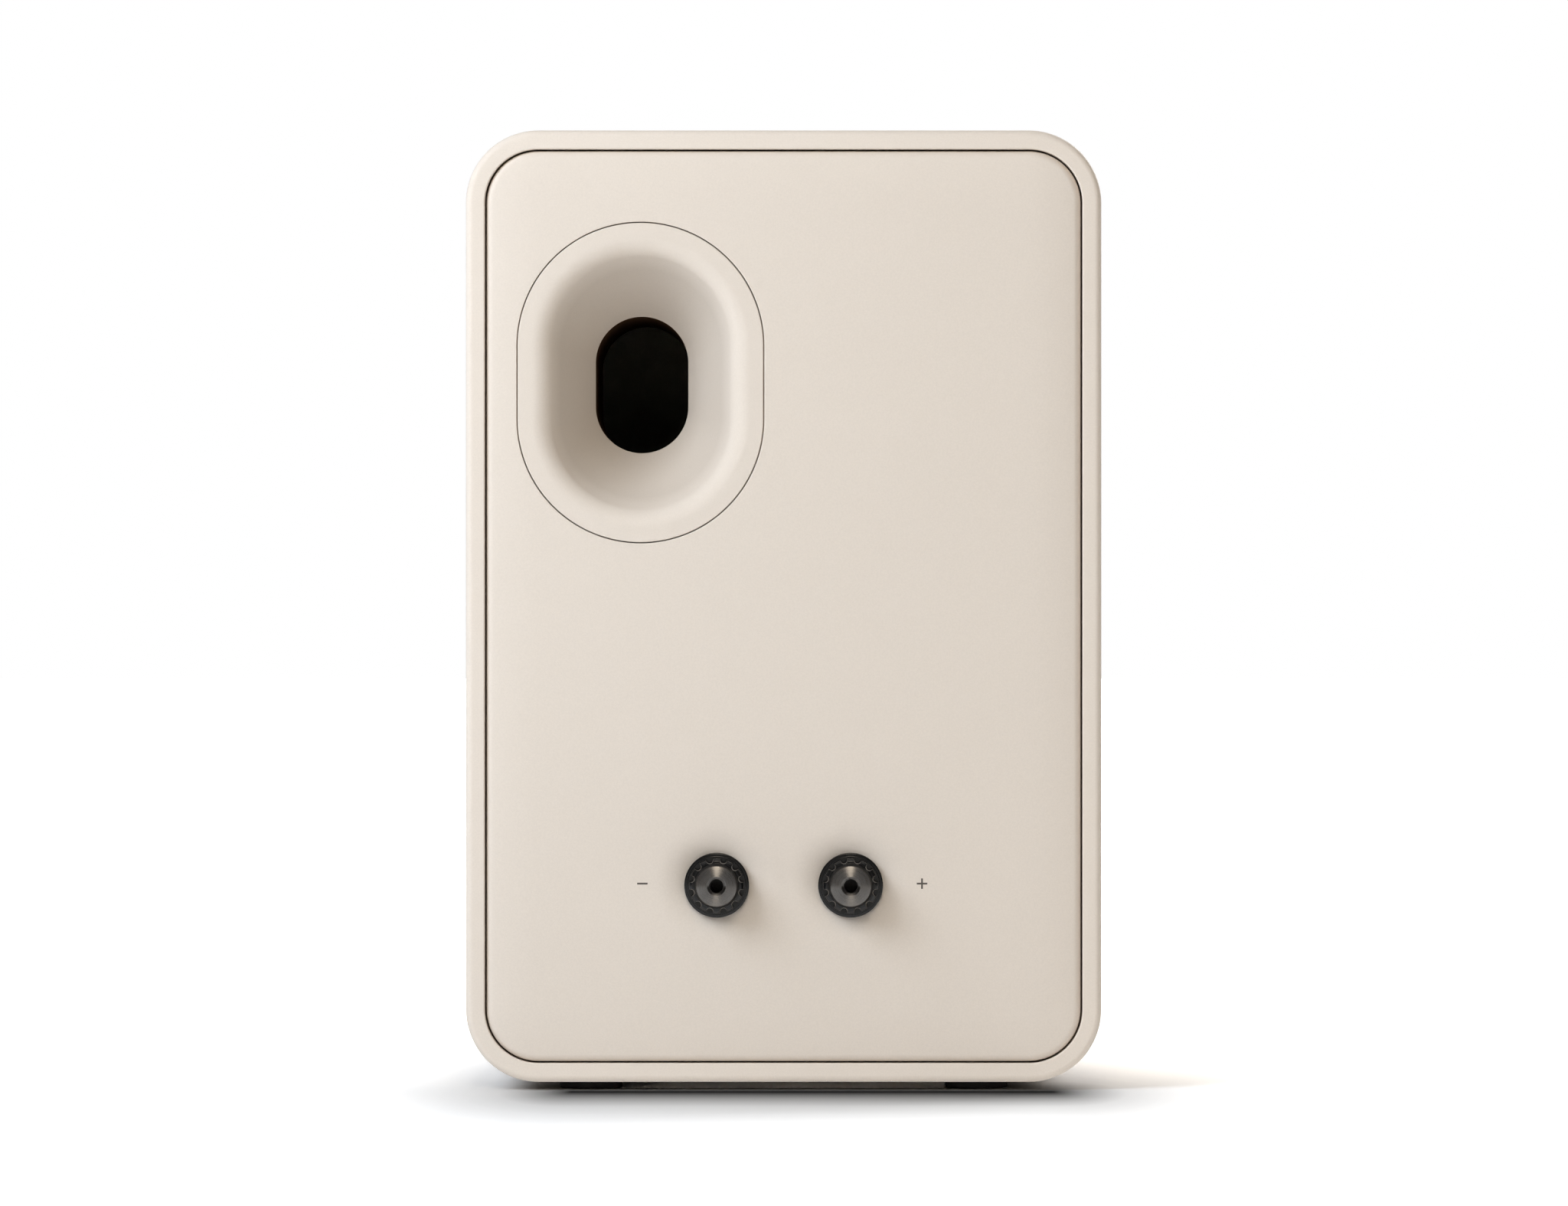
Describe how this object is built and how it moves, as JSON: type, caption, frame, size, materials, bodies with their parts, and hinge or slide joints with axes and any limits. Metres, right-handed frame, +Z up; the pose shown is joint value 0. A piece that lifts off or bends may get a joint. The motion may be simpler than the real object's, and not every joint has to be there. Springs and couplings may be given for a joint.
{
  "type": "bookshelf loudspeaker",
  "caption": "Bookshelf loudspeaker with a domed front baffle, a coaxial driver, an inset rear panel with a flared slot port, and screw terminals that take plugs or bare wire.",
  "frame": {"origin": "on the floor under the middle of the speaker's bounding box, feet and terminals included", "axes": "-Y is the listening side, +Y the rear with the terminals, +Z up, +X to the right seen from the front"},
  "size_m": [0.2, 0.2782, 0.302],
  "materials": {
    "cream_lacquer": "satin lacquer over fibreboard",
    "cream_moulding": "satin painted moulding",
    "black_plastic": "matte",
    "foam_rubber": "closed-cell foam",
    "acoustic_foam": "open-cell foam",
    "black_rubber": "matte rubber",
    "plain_brass": "turned brass",
    "zinc_steel": "zinc plated",
    "cast_frame": "cast and shot-blasted",
    "trim_metal": "spun satin metal",
    "black_steel": "blackened steel",
    "cone_alloy": "satin alloy",
    "former_film": "amber film",
    "copper_wire": "enamelled copper wire",
    "surround_rubber": "matte rubber",
    "treated_cloth": "resin-treated cloth",
    "motor_steel": "zinc-plated mild steel",
    "ferrite": "sintered ferrite",
    "plated_magnet": "nickel plated",
    "circuit_board": "solder-masked board",
    "white_nylon": "natural nylon",
    "phenolic_strip": "phenolic laminate",
    "film_can": "wrapped film can",
    "resistor_body": "cement body",
    "lead_red": "flexible insulation",
    "lead_grey": "flexible insulation",
    "plywood": "bare plywood",
    "black_nylon": "moulded nylon",
    "gunmetal": "turned and dark plated",
    "post_plate": "dark plated brass",
    "clamp_moulding": "smooth black moulding"
  },
  "bodies": {
    "cabinet": {"cabinet_shell": "cream_lacquer", "front_baffle": "cream_moulding", "rear_panel": "cream_lacquer", "rear_panel_seal": "foam_rubber", "port_bell": "cream_moulding", "port_tube": "black_plastic", "port_inner_flare": "black_plastic", "brace_vertical": "plywood", "brace_horizontal": "plywood", "brace_pads": "foam_rubber", "motor_pad": "foam_rubber", "damping_foam": "acoustic_foam", "rubber_feet": "black_rubber", "stand_inserts": "plain_brass", "driver_frame": "cast_frame", "driver_gasket": "foam_rubber", "driver_bolts": "black_steel", "driver_trim_ring": "trim_metal", "woofer_surround": "surround_rubber", "woofer_spider": "treated_cloth", "woofer_front_plate": "motor_steel", "woofer_magnet": "ferrite", "woofer_yoke": "motor_steel", "tweeter_waveguide": "black_plastic", "tweeter_surround": "surround_rubber", "tweeter_pole_plate": "motor_steel", "tweeter_magnet": "plated_magnet", "tweeter_yoke": "motor_steel", "tweeter_duct": "black_plastic", "absorber_disc": "black_plastic", "absorber_cover": "black_plastic", "absorber_screws": "zinc_steel", "driver_tag_strip": "phenolic_strip", "bass_board": "circuit_board", "treble_board": "circuit_board", "board_standoffs": "white_nylon", "board_screws": "zinc_steel", "bass_coils": "copper_wire", "treble_coil": "copper_wire", "film_capacitors": "film_can", "power_resistors": "resistor_body", "input_leads": "lead_red", "woofer_leads": "lead_red", "tweeter_leads": "lead_grey", "post_bushes": "black_nylon", "minus_post": "post_plate", "plus_post": "post_plate", "post_lock_nuts": "zinc_steel", "post_tags": "plain_brass"},
    "woofer_moving": {"woofer_cone": "cone_alloy", "voice_coil_former": "former_film", "voice_coil": "copper_wire"},
    "tweeter_moving": {"tweeter_dome": "cone_alloy", "tweeter_coil": "copper_wire"},
    "minus_clamp": {"minus_clamp_ring": "clamp_moulding"},
    "plus_clamp": {"plus_clamp_ring": "clamp_moulding"},
    "minus_nut_turned": {"minus_nut": "gunmetal"},
    "plus_nut_turned": {"plus_nut": "gunmetal"}
  },
  "joints": [
    {"name": "woofer_excursion", "type": "slide", "parent": "cabinet", "child": "woofer_moving", "axis": [0, 1, 0], "range_m": [-0.004, 0.004], "stiffness_N_per_m": 1500, "deforming": ["woofer_surround", "woofer_spider"]},
    {"name": "tweeter_excursion", "type": "slide", "parent": "cabinet", "child": "tweeter_moving", "axis": [0, 1, 0], "range_m": [-0.0004, 0.0004], "stiffness_N_per_m": 600, "deforming": ["tweeter_surround"]},
    {"name": "minus_nut_turn", "type": "hinge", "parent": "minus_clamp", "child": "minus_nut_turned", "pos_m": [0.02105, 0.12565, 0.0646], "axis": [0, 1, 0], "range_deg": [0, 1800]},
    {"name": "minus_clamp_travel", "type": "slide", "parent": "cabinet", "child": "minus_clamp", "axis": [0, 1, 0], "range_m": [0, 0.00625]},
    {"name": "plus_nut_turn", "type": "hinge", "parent": "plus_clamp", "child": "plus_nut_turned", "pos_m": [-0.02105, 0.12565, 0.0646], "axis": [0, 1, 0], "range_deg": [0, 1800]},
    {"name": "plus_clamp_travel", "type": "slide", "parent": "cabinet", "child": "plus_clamp", "axis": [0, 1, 0], "range_m": [0, 0.00625]}
  ],
  "couplings": [
    {"joint": "minus_nut_turn", "follows": "minus_clamp_travel", "rad_per_m": 5026.5},
    {"joint": "plus_nut_turn", "follows": "plus_clamp_travel", "rad_per_m": 5026.5}
  ]
}
